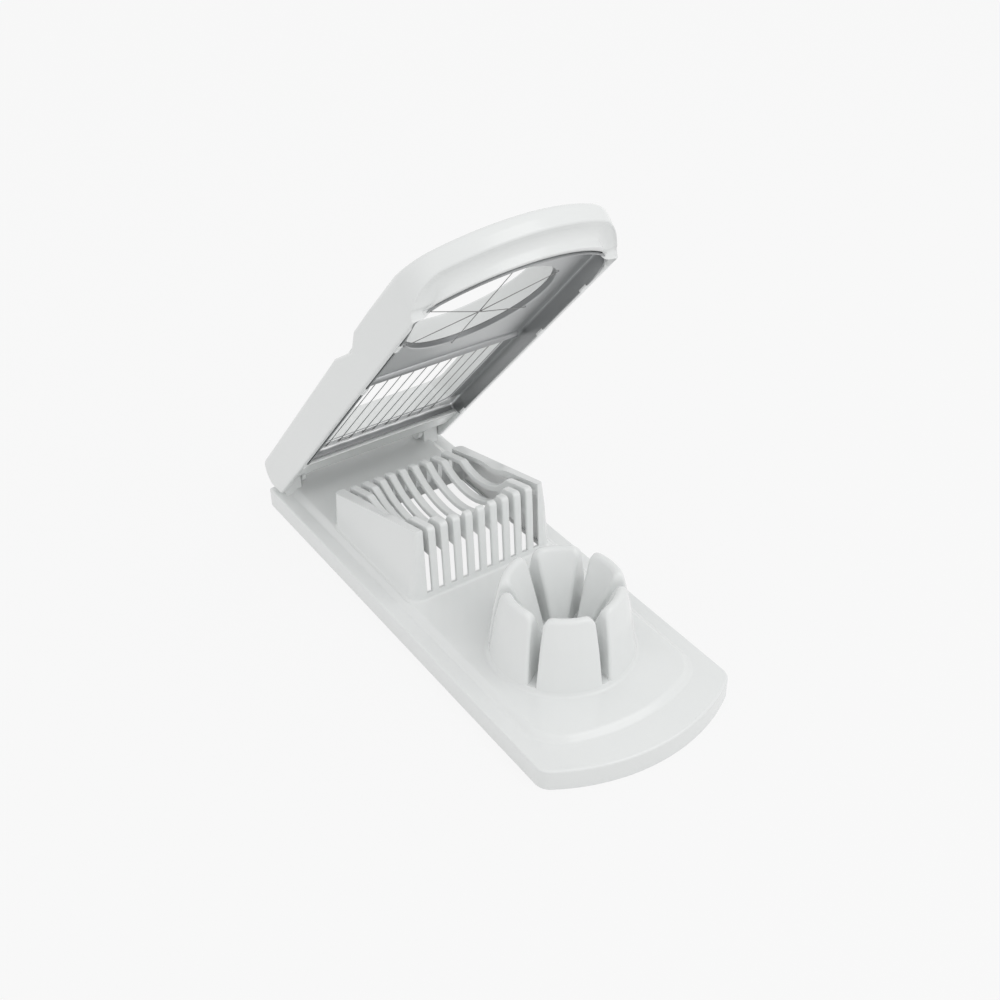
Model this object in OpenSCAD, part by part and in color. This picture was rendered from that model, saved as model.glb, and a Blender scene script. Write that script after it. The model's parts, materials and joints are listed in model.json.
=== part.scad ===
// Double egg slicer: a moulded base with a slotted slicing cradle and a six-petal wedge cup,
// and a hinged lid that carries a pressed steel frame strung with cutting wires.
// Millimetres, +Z up. The slicer stands on Z = 0 with its hinge at +Y and its handle at -Y.
// Places along the base are given as a distance s from its rear edge, and places on the lid
// as a distance from the hinge axis, measured along the closed lid towards the handle.

/* [Base] */
// Width of the base across its side edges
base_w = 80; // [76:0.5:90]
// Length of the base from its rear edge to the crown of its front arc
base_len = 205.5; // [202:0.5:230]
// Height of the flange above the table
base_h = 8.5; // [7:0.1:12]
// Thickness of the base's skirt and top
base_wall = 2; // [1.6:0.1:3]
// Radius of the base's front arc
base_front_r = 70; // [60:1:100]
// Radius of the base's front corners
base_corner_r = 6; // [3:0.5:9]
// Distance from the rear edge to the origin, under the middle of the open slicer
origin_s = 100.9; // [90:0.1:110]

/* [Plateau] */
// Distance from the base's side edge to the plateau's top edge
plateau_inset = 8.2; // [7:0.1:9]
// Height of the plateau above the flange
plateau_rise = 1.8; // [1:0.1:2.2]
// Width of the plateau's sloping shoulder
plateau_slope = 2; // [1:0.1:2.5]
// Distance from the rear edge to the plateau's rear edge
plateau_rear = 12; // [11.5:0.1:16]
// Distance from the rear edge to the crown of the plateau's front arc
plateau_front = 190.5; // [184:0.5:192]
// Radius of the plateau's front arc
plateau_front_r = 66; // [50:1:100]
// Radius of the plateau's front corners
plateau_corner_r = 13; // [6:0.5:15]

/* [Slicing cradle] */
// Width of the cradle at its foot
cradle_w = 61; // [58:0.1:61.2]
// Distance from the rear edge to the cradle's rear wall
cradle_rear = 40.4; // [40.2:0.1:42]
// Length of the cradle from its rear wall to its front wall
cradle_len = 59.6; // [56:0.1:60]
// Height of the cradle's rear wall above the plateau
cradle_rear_h = 14.5; // [12:0.1:18]
// Height of the cradle's front wall above the plateau
cradle_front_h = 30.7; // [24:0.1:31]
// Radius of the cradle's upright corners
cradle_corner_r = 4.5; // [4:0.1:6]
// Radius of the upright corners of the hollow inside the cradle
cradle_hollow_r = 0.4; // [0.2:0.1:1]
// Draft of the cradle's side walls, in degrees
cradle_draft = 8.5; // [4:0.5:10]
// Thickness of the cradle's shell
cradle_wall = 2.4; // [1.8:0.1:3]
// Width of a wire slot
slot_w = 2.2; // [1.6:0.1:2.8]
// Height of the slots' floor above the plateau
slot_floor = 2.6; // [1.8:0.1:3]
// Radius of the egg that the dish fits, at its waist
dish_r = 27; // [24:0.5:29]
// Length of the egg that the dish fits
dish_len = 66; // [56:1:70]
// Height of the egg's axis above the middle of the cradle's top
dish_lift = 11.5; // [9:0.1:14]

/* [Wedge cup] */
// Distance from the rear edge to the cup's middle
cup_s = 149.2; // [148:0.1:150]
// Radius of the cup at its foot
cup_foot_r = 26; // [24:0.1:26.3]
// Radius of the cup at its rim
cup_rim_r = 20; // [17:0.1:21]
// Height of the cup above the plateau
cup_h = 29.4; // [24:0.1:32]
// Thickness of the petals at the rim
petal_rim = 2.6; // [2.2:0.1:4]
// Radius of the funnel's floor inside the cup
funnel_floor_r = 7; // [5:0.5:9]
// Thickness of the hollow petals' skin
petal_skin = 1.8; // [1.4:0.1:2]
// Width of the gaps between the petals
petal_gap = 3; // [2.4:0.1:4]
// Height of the gaps' floor above the plateau
petal_floor = 2; // [1.6:0.1:2.1]
// Depth of the dip in the gaps' floor where the wires cross
gap_dip = 0.5; // [0.3:0.1:1]
// Height of the funnel's floor above the gaps' floor
funnel_step = 0.6; // [0.3:0.1:1.5]
// Radius of the petals' top corners
petal_corner_r = 4.5; // [2:0.1:6]

/* [Hinge] */
// Distance from the rear edge to the hinge axis
hinge_s = 4.9; // [4.8:0.1:6]
// Height of the hinge axis above the flange
hinge_lift = 6.9; // [6.8:0.1:8]
// Radius of the hinge posts' round tops
post_r = 4.6; // [3.5:0.1:4.7]
// Width of a hinge post
post_w = 7; // [5:0.1:8]
// Diameter of a hinge pin
pin_d = 3; // [2:0.1:4]
// Depth of a hinge pin's seat in the lid's rail
pin_seat = 1.2; // [0.8:0.1:1.6]
// Radial clearance of a hinge pin in its post
pin_play = 0.05; // [0.02:0.01:0.1]
// Radial clearance of a hinge pin in the lid
pin_grip = 0.01; // [0.01:0.01:0.05]
// Side clearance between a hinge post and the lid
hinge_gap = 0.3; // [0.2:0.05:0.6]

/* [Lid] */
// Angle at which the lid stands open
open_angle = 48; // [40:1:60]
// Distance that the lid's sides stand inside the base's side edges
lid_inset = 1.1; // [0.5:0.1:1.6]
// Distance from the hinge axis to the crown of the lid's front arc
lid_len = 194.7; // [192:0.1:200]
// Height of the lid's top above the hinge axis
lid_up = 9.5; // [9:0.1:12]
// Depth of the lid's lower edge below the hinge axis
lid_low = 6.55; // [6:0.05:6.6]
// Thickness of the lid's walls
lid_wall = 2.2; // [1.8:0.1:2.6]
// Thickness of the lid's top
lid_top = 2.2; // [1.6:0.1:3]
// Radius of the lid's front arc
lid_front_r = 62; // [55:1:90]
// Radius of the lid's front corners
lid_corner_r = 10; // [9:0.5:14]
// Distance that the rails reach behind the hinge axis
rail_reach = 6.3; // [5.5:0.1:6.3]
// Height of the rails' rear bevel where it meets their round end
rail_bevel = 3.2; // [2:0.1:4]
// Distance from the hinge axis to the deepest point of the rails' notch
notch_at = 121.8; // [118:0.1:126]
// Depth of the notch in the rails' top edge
notch_d = 3.9; // [1:0.1:4.5]
// Length of the notch's gentle slope on the hinge side
notch_back = 15.8; // [10:0.1:18]
// Length of the notch's steep slope on the handle side
notch_front = 8.6; // [5:0.1:12]
// Reach of the notch into each rail
notch_in = 5.6; // [3:0.1:5.8]
// Depth of the finger scoop below the lid's front lip
scoop_d = 6; // [4:0.1:7]
// Depth of the front wall's lower edge below the hinge axis
scoop_low = 4.9; // [4.4:0.1:5]
// Height of the lip above the finger scoop
lip_h = 6; // [4:0.1:8]
// Half width of the finger scoop
scoop_half = 33; // [28:0.5:34]
// Distance from the hinge axis to the front face of the cross wall
cross_at = 24.2; // [22:0.1:26]
// Length of the cross wall's foot
cross_foot = 10; // [4:0.1:12]
// Depth of the cross wall's foot below the hinge axis
cross_low = 4.5; // [3:0.1:4.8]
// Thickness of the walls round the lid's two wells
well_wall = 1.8; // [1.2:0.1:2]
// Radius of the slicing well's corners
well_r = 7; // [4:0.5:9]

/* [Steel frame] */
// Thickness of the steel sheet
sheet_t = 0.6; // [0.4:0.05:0.8]
// Depth of the sheet's lower face below the hinge axis
sheet_low = 0.6; // [0.4:0.05:1]
// Depth of the frame's turned rim
rim_d = 3.6; // [2:0.1:4]
// Clearance between the frame and the lid's walls
frame_gap = 0.3; // [0.15:0.05:0.5]
// Width of the folded rib between the two windows
rib_w = 3.6; // [2.4:0.1:4]
// Depth of the folded rib below the sheet
rib_d = 1.6; // [1:0.1:2]
// Clearance of the slicing window round the cradle
window_gap = 0.8; // [0.5:0.1:1.2]
// Radius of the round window
ring_r = 27.5; // [26.8:0.1:28.5]
// Height of the collar round the round window
collar_h = 2.6; // [1.5:0.1:4]
// Size of a hook slot along the sheet's edge
hook_w = 6.2; // [5.8:0.1:6.6]
// Size of a hook slot across the sheet's edge
hook_d = 1.8; // [1.2:0.1:2.4]
// Distance from the slicing window to its hook slots
hook_in = 6; // [4:0.1:6.5]
// Length of a snap lug that holds the frame in the lid
lug_len = 5; // [3:0.1:8]
// Height of a snap lug
lug_h = 1.2; // [0.8:0.1:1.4]
// Reach of a snap lug from the rail
lug_out = 1.3; // [0.8:0.1:2]

/* [Wires] */
// Number of slicing wires, and of slots in the cradle
wire_n = 10; // [10]
// Distance between neighbouring slicing wires
wire_pitch = 5.32; // [5.2:0.01:5.4]
// Diameter of the cutting wire
wire_d = 0.5; // [0.3:0.05:0.6]
// Clearance between the wire and the sheet that it lies on
wire_gap = 0.05; // [0.02:0.01:0.1]

/* [Hidden] */
$fn = 96;
eps = 1;
corner_steps = 8;
front_steps = 24;
tube_sides = 6;
egg_step = 7.5;
cup_facets = 60;
steep = 0.9;
tiny = 0.001;
lug_places = [32, 113, 150];
wedge_angles = [90, 30, 150];
shell_white = [0.84, 0.85, 0.85];
steel_grey = [0.52, 0.54, 0.55];

plateau_z = base_h + plateau_rise;
hinge_z = base_h + hinge_lift;
hinge_y = origin_s - hinge_s;
cradle_mid = cradle_rear + cradle_len / 2;
cradle_top_mid = (cradle_rear_h + cradle_front_h) / 2;
cup_lean = (cup_foot_r - cup_rim_r) / cup_h;
funnel_floor = petal_floor + funnel_step;
funnel_flare = (cup_rim_r - petal_rim - funnel_floor_r) / (cup_h - funnel_floor);
cradle_slope = atan((cradle_front_h - cradle_rear_h) / cradle_len);

// The lid's own frame: x across, y towards the hinge, z away from the base, on the hinge axis
lid_w = base_w - 2 * lid_inset;
lid_in = lid_w / 2 - lid_wall;
post_out = lid_in - hinge_gap;
post_in = post_out - post_w;
gusset_out = post_in - hinge_gap;
gusset_in = gusset_out - lid_wall;
ring_at = cup_s - hinge_s;
window_rear = cradle_rear - hinge_s - window_gap;
cradle_reach = norm([cradle_rear + cradle_len - hinge_s, cradle_front_h + plateau_rise - hinge_lift]);
window_front = cradle_reach + window_gap;
window_half = cradle_w / 2 + window_gap / 2;
cavity_len = lid_len - scoop_d - lid_wall;
sheet_up = sheet_t - sheet_low;
rim_low = sheet_low + rim_d;
wire_under = -sheet_low - wire_gap - wire_d / 2;
wire_over = sheet_up + wire_gap + wire_d / 2;
hook_at = window_rear - hook_in;
hook_wire = hook_at - wire_gap - wire_d / 2;
rib_wire = window_front + sheet_t + wire_gap + wire_d / 2;
ring_wire = ring_r + sheet_t + wire_gap + wire_d / 2;

// Y of a place on the base, from its distance to the rear edge
function y_at(s) = origin_s - s;

// Place of slicing wire i, and of its slot in the cradle, across the slicer
function wire_x(i) = (i - (wire_n - 1) / 2) * wire_pitch;

// Points of an arc round centre c, from angle a0 to a1
function arc_points(c, r, a0, a1, n) =
    [for (i = [0 : n]) c + r * [cos(a0 + (a1 - a0) * i / n), sin(a0 + (a1 - a0) * i / n)]];

// An outline with straight sides and an arched front: its rear edge lies at y = -rear
// and the crown of its front arc at y = -front
function arched_plan(w, rear, front, r_front, r_corner) =
    let (side = w / 2 - r_corner)
    let (centre = [0, r_front - front])
    let (drop = sqrt(pow(r_front - r_corner, 2) - side * side))
    let (swing = atan2(drop, side))
    concat(
        [[w / 2, -rear], [-w / 2, -rear]],
        arc_points([-side, centre[1] - drop], r_corner, 180, 180 + swing, corner_steps),
        arc_points(centre, r_front, 180 + swing, 360 - swing, front_steps),
        arc_points([side, centre[1] - drop], r_corner, 360 - swing, 360, corner_steps));

// Unit vector along v
function unit(v) = v / norm(v);

// Ring of points round p, in the plane that halves the turn from direction a to direction b
function tube_ring(p, a, b, r) =
    let (tangent = unit(a + b))
    let (side = unit(cross(abs(tangent[2]) > steep ? [1, 0, 0] : [0, 0, 1], tangent)))
    let (up = cross(tangent, side))
    let (widen = 1 / sqrt((1 + a * b) / 2))
    let (bend = b - a)
    let (out = norm(bend) > tiny ? unit(bend) : side)
    [for (k = [0 : tube_sides - 1])
        let (q = side * cos(360 * k / tube_sides) + up * sin(360 * k / tube_sides))
        p + r * (q + (widen - 1) * (q * out) * out)];

// One unbroken tube along the points of a path
module tube(path, d) {
    last = len(path) - 1;
    ways = [for (i = [0 : last - 1]) unit(path[i + 1] - path[i])];
    rings = [for (i = [0 : last]) tube_ring(path[i], ways[max(i - 1, 0)], ways[min(i, last - 1)], d / 2)];
    n = tube_sides;
    polyhedron(
        points = [for (ring = rings) each ring],
        faces = concat(
            [[for (k = [0 : n - 1]) k]],
            [for (i = [0 : last - 1], k = [0 : n - 1]) [i * n + k, (i + 1) * n + k, i * n + (k + 1) % n]],
            [for (i = [0 : last - 1], k = [0 : n - 1])
                [i * n + (k + 1) % n, (i + 1) * n + k, (i + 1) * n + (k + 1) % n]],
            [[for (k = [n - 1 : -1 : 0]) last * n + k]]));
}

// The base's outline, drawn in by an inset
module base_outline(inset) {
    translate([0, origin_s])
        polygon(arched_plan(base_w - 2 * inset, inset, base_len - inset,
                            base_front_r - inset, base_corner_r - inset / 2));
}

// The plateau's outline, spread by an offset
module plateau_outline(spread) {
    translate([0, origin_s])
        polygon(arched_plan(base_w - 2 * plateau_inset + 2 * spread, plateau_rear - spread,
                            plateau_front + spread, plateau_front_r + spread, plateau_corner_r + spread));
}

module base_plate() {
    color(shell_white)
    difference() {
        union() {
            linear_extrude(base_h)
                base_outline(0);
            hull() {
                linear_extrude(base_h)
                    plateau_outline(plateau_slope);
                linear_extrude(plateau_z)
                    plateau_outline(0);
            }
        }
        translate([0, 0, -eps])
            linear_extrude(base_h - base_wall + eps)
            base_outline(base_wall);
        translate([0, 0, -eps])
            linear_extrude(plateau_z - base_wall + eps)
            plateau_outline(-base_wall);
        translate([0, y_at(cradle_mid), 0])
            cube([cradle_w - 2 * cradle_wall, cradle_len - 2 * cradle_wall, 4 * base_h], center = true);
        translate([0, y_at(cup_s), 0])
            cylinder(h = 2 * base_h + 2 * plateau_rise + eps, r = cup_foot_r - petal_skin, center = true);
    }
}

// The cradle's outline in plan at a height above the plateau, drawn in by a wall: its sides lean in
// as they rise, and its corners are round
function cradle_plan(inset, r, z) =
    let (half = cradle_w / 2 - inset - z * tan(cradle_draft))
    let (rear = -cradle_rear - inset - r)
    let (front = -cradle_rear - cradle_len + inset + r)
    concat(
        arc_points([half - r, rear], r, 0, 90, corner_steps),
        arc_points([r - half, rear], r, 90, 180, corner_steps),
        arc_points([r - half, front], r, 180, 270, corner_steps),
        arc_points([half - r, front], r, 270, 360, corner_steps));

// The cradle's wedge of a body, whose top line rises from the rear wall to the front wall
module cradle_body(inset, r, low) {
    drop = inset / cos(cradle_slope);
    tall = cradle_front_h + eps;
    reach = cradle_rear + cradle_len;
    rise = tan(cradle_slope);
    intersection() {
        hull() {
            translate([0, 0, -low])
                linear_extrude(tiny)
                polygon(cradle_plan(inset, r, -low));
            translate([0, 0, tall])
                linear_extrude(tiny)
                polygon(cradle_plan(inset, r, tall));
        }
        rotate([90, 0, 90])
            linear_extrude(2 * cradle_w, center = true)
            polygon([[0, -low], [-reach - eps, -low], [-reach - eps, cradle_front_h + eps * rise - drop],
                     [0, cradle_rear_h - cradle_rear * rise - drop]]);
    }
}

// The egg that lies across the wires in the dish, swollen by a wall
module dish_egg(swell) {
    long = dish_len / 2 + swell;
    round = dish_r + swell;
    translate([0, -cradle_mid, cradle_top_mid + dish_lift])
        rotate([0, 90, 0])
        rotate_extrude()
        polygon([for (a = [-90 : egg_step : 90]) [round * cos(a), long * sin(a)]]);
}

// The hollow cradle before its slots are cut
module cradle_shell() {
    difference() {
        cradle_body(0, cradle_corner_r, 0);
        dish_egg(0);
        difference() {
            cradle_body(cradle_wall, cradle_hollow_r, eps);
            dish_egg(cradle_wall);
        }
    }
}

// A slab of space above the slots' floor, between two places across the cradle
module above_slots(x0, x1) {
    translate([x0, -cradle_mid - cradle_len, slot_floor])
        cube([x1 - x0, 2 * cradle_len, 2 * cradle_front_h]);
}

// The closed band of wall below the slots
module cradle_foot() {
    color(shell_white)
    translate([0, origin_s, plateau_z])
    intersection() {
        cradle_shell();
        translate([-cradle_w, -cradle_mid - cradle_len, 0])
            cube([2 * cradle_w, 2 * cradle_len, slot_floor]);
    }
}

// The ribs between the slots, each an arch over the hollow with the dish in its top
module cradle_ribs() {
    color(shell_white)
    translate([0, origin_s, plateau_z])
    intersection() {
        cradle_shell();
        for (i = [0 : wire_n - 2])
            above_slots(wire_x(i) + slot_w / 2, wire_x(i + 1) - slot_w / 2);
    }
}

// The cradle's right end, beyond its last slot
module cradle_side() {
    color(shell_white)
    translate([0, origin_s, plateau_z])
    intersection() {
        cradle_shell();
        above_slots(wire_x(wire_n - 1) + slot_w / 2, cradle_w);
    }
}

module cradle_side_left() {
    mirror([1, 0, 0])
        cradle_side();
}

module cradle_side_right() {
    cradle_side();
}

// A cone with flat facets that stands on a height and narrows or widens to its top
module frustum(low, high, r_low, r_high) {
    translate([0, 0, low])
        linear_extrude(high - low, scale = r_high / r_low)
        circle(r_low, $fn = cup_facets);
}

// The gaps between the petals, with the petals' round top corners, spread by a skin, from a floor up
module petal_gaps(skin, low) {
    half = petal_gap / 2 + skin;
    knee = cup_h - petal_corner_r;
    outline = concat([[-half, low], [half, low]],
                     arc_points([half + petal_corner_r, knee], petal_corner_r, 180, 90, corner_steps),
                     [[half + petal_corner_r, cup_h + eps], [-half - petal_corner_r, cup_h + eps]],
                     arc_points([-half - petal_corner_r, knee], petal_corner_r, 90, 0, corner_steps));
    for (a = wedge_angles)
        rotate([90, 0, a + 90])
            linear_extrude(3 * cup_foot_r, center = true)
            polygon(outline);
}

// The hollow under the petals, between the skins of the outer cone and the funnel
module cup_hollow() {
    outer = cup_foot_r - petal_skin;
    inner = funnel_floor_r + petal_skin - funnel_flare * funnel_floor;
    top = min((outer - inner) / (funnel_flare + cup_lean) - petal_skin, cup_h - petal_corner_r - petal_skin);
    difference() {
        frustum(-eps, top, outer + eps * cup_lean, outer - top * cup_lean);
        frustum(-2 * eps, top + eps, inner - 2 * eps * funnel_flare, inner + (top + eps) * funnel_flare);
    }
}

module wedge_cup() {
    color(shell_white)
    translate([0, y_at(cup_s), plateau_z])
    difference() {
        frustum(0, cup_h, cup_foot_r, cup_rim_r);
        frustum(funnel_floor, cup_h + eps, funnel_floor_r, cup_rim_r - petal_rim + eps * funnel_flare);
        petal_gaps(0, petal_floor);
        translate([0, 0, petal_floor - gap_dip])
            cylinder(h = cup_h, r = petal_gap + eps);
        difference() {
            cup_hollow();
            petal_gaps(petal_skin, -3 * eps);
        }
    }
}

// A hinge post on the side given by its sign
module hinge_post(side) {
    color(shell_white)
    translate([side * (post_in + post_w / 2), hinge_y, hinge_z])
    difference() {
        union() {
            rotate([0, 90, 0])
                cylinder(h = post_w, r = post_r, center = true);
            translate([-post_w / 2, -post_r, -hinge_lift])
                cube([post_w, 2 * post_r, hinge_lift]);
        }
        rotate([0, 90, 0])
            cylinder(h = post_w + 2 * eps, r = pin_d / 2 + pin_play, center = true);
    }
}

module hinge_post_left() {
    hinge_post(-1);
}

module hinge_post_right() {
    hinge_post(1);
}

// A hinge pin on the side given by its sign, from the gusset's inner face into the rail
module hinge_pin(side) {
    pin_len = lid_in + pin_seat - gusset_in;
    color(steel_grey)
    lid_place()
        translate([side * (gusset_in + pin_len / 2), 0, 0])
        rotate([0, 90, 0])
        cylinder(h = pin_len, d = pin_d, center = true);
}

module hinge_pin_left() {
    hinge_pin(-1);
}

module hinge_pin_right() {
    hinge_pin(1);
}

// Puts what is drawn in the lid's frame where the open lid stands
module lid_place() {
    translate([0, hinge_y, hinge_z])
        rotate([-open_angle, 0, 0])
        children();
}

// The lid's outline in plan, with its rear edge behind the hinge axis
module lid_outline() {
    polygon(arched_plan(lid_w, -rail_reach, lid_len, lid_front_r, lid_corner_r));
}

// Side view of the lid: bevelled and rounded at the rear, square at the front
module lid_profile() {
    round_r = lid_up - rail_bevel;
    polygon(concat([[-lid_len - eps, -lid_low], [0, -lid_low], [rail_reach, rail_bevel - round_r / 2]],
                   arc_points([rail_reach - round_r, rail_bevel], round_r, 0, 90, corner_steps),
                   [[-lid_len - eps, lid_up]]));
}

// Side view of the notch in a rail's top edge, lowered by a wall
module notch_profile(drop) {
    polygon([[-notch_at + notch_back, lid_up - drop], [-notch_at, lid_up - notch_d - drop],
             [-notch_at - notch_front, lid_up - drop], [-notch_at - notch_front, lid_up + eps],
             [-notch_at + notch_back, lid_up + eps]]);
}

// Notches in both rails, lowered and spread by a wall
module notches(wall) {
    for (side = [-1, 1])
        translate([side * (lid_w / 2 + eps - (notch_in + wall + eps) / 2), 0, 0])
            rotate([90, 0, 90])
            linear_extrude(notch_in + wall + eps, center = true)
            notch_profile(wall);
}

// Outline of the slicing well, spread by a wall
module well_outline(spread) {
    half = window_half + spread;
    rear = window_rear - spread;
    front = window_front + spread;
    r = well_r + spread;
    polygon(concat(
        arc_points([half - r, -front + r], r, 270, 360, corner_steps),
        arc_points([half - r, -rear - r], r, 0, 90, corner_steps),
        arc_points([r - half, -rear - r], r, 90, 180, corner_steps),
        arc_points([r - half, -front + r], r, 180, 270, corner_steps)));
}

// Round well over the cup: a cone that narrows to the lid's top
module round_well(spread, low) {
    well_low_r = ring_r - frame_gap;
    well_top_r = cup_foot_r - frame_gap;
    translate([0, -ring_at, low])
        cylinder(h = lid_up + eps - low, r1 = well_low_r + spread, r2 = well_top_r + spread);
}

// Hollow of the lid between its walls, open below and at the rear
module lid_cavity() {
    translate([0, 0, -lid_low - eps])
        linear_extrude(lid_low + eps + lid_up - lid_top)
        polygon(arched_plan(2 * lid_in, -rail_reach - eps, cavity_len,
                            lid_front_r - scoop_d - lid_wall, lid_corner_r - lid_wall));
}

// Space cut away under the front lip for the fingers, and under the wall behind it for the plateau
module finger_scoop() {
    translate([0, 0, -lid_low - eps])
        linear_extrude(lid_low + eps + lid_up - lip_h)
        difference() {
            translate([-scoop_half, -lid_len - eps])
                square([2 * scoop_half, lid_corner_r + lid_front_r / 2]);
            polygon(arched_plan(2 * lid_in, 0, lid_len - scoop_d,
                                lid_front_r - scoop_d, lid_corner_r));
        }
    translate([-scoop_half, -lid_len - eps, -lid_low - eps])
        cube([2 * scoop_half, lid_len - ring_at, lid_low - scoop_low + eps]);
}

// Side view of a gusset: a wall from the cross wall that rounds off about the hinge pin
module gusset_profile() {
    polygon(concat([[post_r, lid_up - lid_top], [-cross_at + lid_wall, lid_up - lid_top],
                    [-cross_at + lid_wall, -cross_low], [-cross_at + cross_foot, -cross_low]],
                   arc_points([0, 0], post_r, 230, 360, corner_steps)));
}

module gussets() {
    for (side = [-1, 1])
        translate([side * (gusset_in + lid_wall / 2), 0, 0])
            rotate([90, 0, 90])
            linear_extrude(lid_wall, center = true)
            gusset_profile();
}

// Wall across the lid in front of the hinge, with a foot turned back towards it
module cross_wall() {
    translate([-lid_in, -cross_at, -cross_low])
        cube([2 * lid_in, lid_wall, cross_low + lid_up - lid_top]);
    translate([-gusset_out, -cross_at, -cross_low])
        cube([2 * gusset_out, cross_foot, lid_wall]);
}

// Walls of the two wells, from the lid's top down to the steel frame
module well_walls() {
    translate([0, 0, sheet_up])
        linear_extrude(lid_up - lid_top - sheet_up)
        well_outline(well_wall);
    intersection() {
        round_well(well_wall, sheet_up + collar_h + frame_gap);
        translate([0, -ring_at, 0])
            cylinder(h = 2 * (lid_up - lid_top), r = 2 * ring_r, center = true);
    }
}

// Lugs along the rails that snap under the steel frame's rim
module snap_lugs() {
    for (side = [-1, 1], at = lug_places)
        translate([side * (lid_in - lug_out / 2), -at, -rim_low - lug_h / 2])
            cube([lug_out, lug_len, lug_h], center = true);
}

module lid_frame() {
    color(shell_white)
    lid_place()
    difference() {
        union() {
            difference() {
                intersection() {
                    translate([0, 0, -lid_low])
                        linear_extrude(lid_low + lid_up)
                        lid_outline();
                    rotate([90, 0, 90])
                        linear_extrude(lid_w + eps, center = true)
                        lid_profile();
                }
                notches(0);
                difference() {
                    lid_cavity();
                    notches(lid_wall);
                }
                finger_scoop();
            }
            gussets();
            cross_wall();
            well_walls();
            snap_lugs();
        }
        translate([0, 0, -lid_low])
            linear_extrude(lid_low + lid_up + eps)
            well_outline(0);
        round_well(0, sheet_up);
        for (side = [-1, 1])
            translate([side * (gusset_in + lid_in + pin_seat) / 2, 0, 0])
                rotate([0, 90, 0])
                cylinder(h = lid_in + pin_seat - gusset_in, r = pin_d / 2 + pin_grip, center = true);
    }
}

// Outline of the steel sheet in plan, drawn in by an inset
module sheet_outline(inset) {
    polygon(arched_plan(2 * (lid_in - frame_gap - inset), cross_at + frame_gap + inset,
                        cavity_len - frame_gap - inset,
                        lid_front_r - scoop_d - lid_wall - frame_gap - inset,
                        lid_corner_r - lid_wall - frame_gap - inset));
}

// Hook slots along the hinge side of the slicing window, one for each turn of the wire
module window_hooks() {
    for (i = [0 : wire_n / 2])
        translate([(2 * i - wire_n / 2) * wire_pitch, -hook_at + hook_d / 2, 0])
            cube([hook_w, hook_d, 4 * sheet_t], center = true);
}

// Hook slots round the collar, at both ends of each wedge wire
module ring_hooks() {
    for (a = wedge_angles, turn = [0, 180])
        translate([0, -ring_at, 0])
            rotate([0, 0, a + turn])
            translate([ring_r + sheet_t + hook_d / 2, 0, 0])
            cube([hook_d, hook_w, 4 * sheet_t], center = true);
}

// Folded rib along the handle side of the slicing window, notched for the wires
module folded_rib() {
    half = window_half - well_r / 2;
    rib_low = sheet_low + rib_d;
    translate([0, -window_front - rib_w / 2, 0])
    difference() {
        translate([-half, -rib_w / 2, -rib_low])
            cube([2 * half, rib_w, rib_d + sheet_t]);
        translate([-half - eps, sheet_t - rib_w / 2, sheet_t - rib_low])
            cube([2 * half + 2 * eps, rib_w - 2 * sheet_t, rib_d + sheet_t]);
        for (i = [0 : wire_n - 1])
            translate([wire_x(i), rib_w / 2, 0])
                cube([2 * wire_d, 3 * sheet_t, 2 * (wire_d / 2 + wire_gap - wire_under)], center = true);
    }
}

module wire_frame() {
    color(steel_grey)
    lid_place() {
        difference() {
            union() {
                translate([0, 0, -rim_low])
                    linear_extrude(rim_low + sheet_up)
                    sheet_outline(0);
                translate([0, -ring_at, -sheet_low])
                    cylinder(h = sheet_t + collar_h, r = ring_r + sheet_t);
            }
            translate([0, 0, -rim_low - eps])
                linear_extrude(rim_d + eps)
                sheet_outline(sheet_t);
            translate([0, 0, -2 * sheet_t])
                linear_extrude(4 * sheet_t)
                well_outline(0);
            translate([-window_half + well_r / 2, -window_front - rib_w + sheet_t, -2 * sheet_t])
                cube([2 * window_half - well_r, rib_w, 4 * sheet_t]);
            translate([0, -ring_at, -sheet_low - eps])
                cylinder(h = sheet_t + collar_h + 2 * eps, r = ring_r);
            window_hooks();
            ring_hooks();
        }
        folded_rib();
    }
}

// One run of the slicing wire: up from its hook slot, along the window and into the folded rib
function wire_run(i) =
    [[wire_x(i), -hook_wire, wire_over], [wire_x(i), -hook_wire, wire_under],
     [wire_x(i), -rib_wire, wire_under]];

// The slicing wire's whole way: its runs go to and fro, starting and ending in an outer hook slot
function slicing_path() =
    concat(
        [[wire_x(-1) + hook_w / 4, -hook_wire, wire_over]],
        [for (i = [0 : wire_n - 1]) each (i % 2 == 0 ? wire_run(i) : reversed(wire_run(i)))],
        [[wire_x(wire_n) - hook_w / 4, -hook_wire, wire_over]]);

// A list in reverse order
function reversed(list) = [for (i = [len(list) - 1 : -1 : 0]) list[i]];

module slicing_wire() {
    color(steel_grey)
    lid_place()
        tube(slicing_path(), wire_d);
}

// A point of the wedge wire, at a radius and an angle about the ring's middle
function ring_point(r, a, z) = [r * cos(a), r * sin(a) - ring_at, z];

// A wedge wire across the ring, dipping at the middle to pass under those before it
function wedge_run(a, layer) =
    [ring_point(ring_wire, a, wire_over), ring_point(ring_wire, a, wire_under),
     ring_point(0, a, wire_under - layer * (wire_d + wire_gap)),
     ring_point(ring_wire, a + 180, wire_under), ring_point(ring_wire, a + 180, wire_over)];

// The wire's way along the outside of the collar, between two hook slots
function collar_way(a0, a1) =
    [for (k = [1 : corner_steps - 1]) ring_point(ring_wire, a0 + (a1 - a0) * k / corner_steps, wire_over)];

module wedge_wire() {
    turn = wedge_angles[2] - wedge_angles[0];
    path = concat(wedge_run(-wedge_angles[0], 0), collar_way(wedge_angles[0], wedge_angles[0] + turn),
                  wedge_run(wedge_angles[0] + turn, 1),
                  collar_way(-wedge_angles[1], -wedge_angles[0] + turn + turn),
                  wedge_run(wedge_angles[1], 2));
    color(steel_grey)
    lid_place()
        tube(path, wire_d);
}

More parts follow.
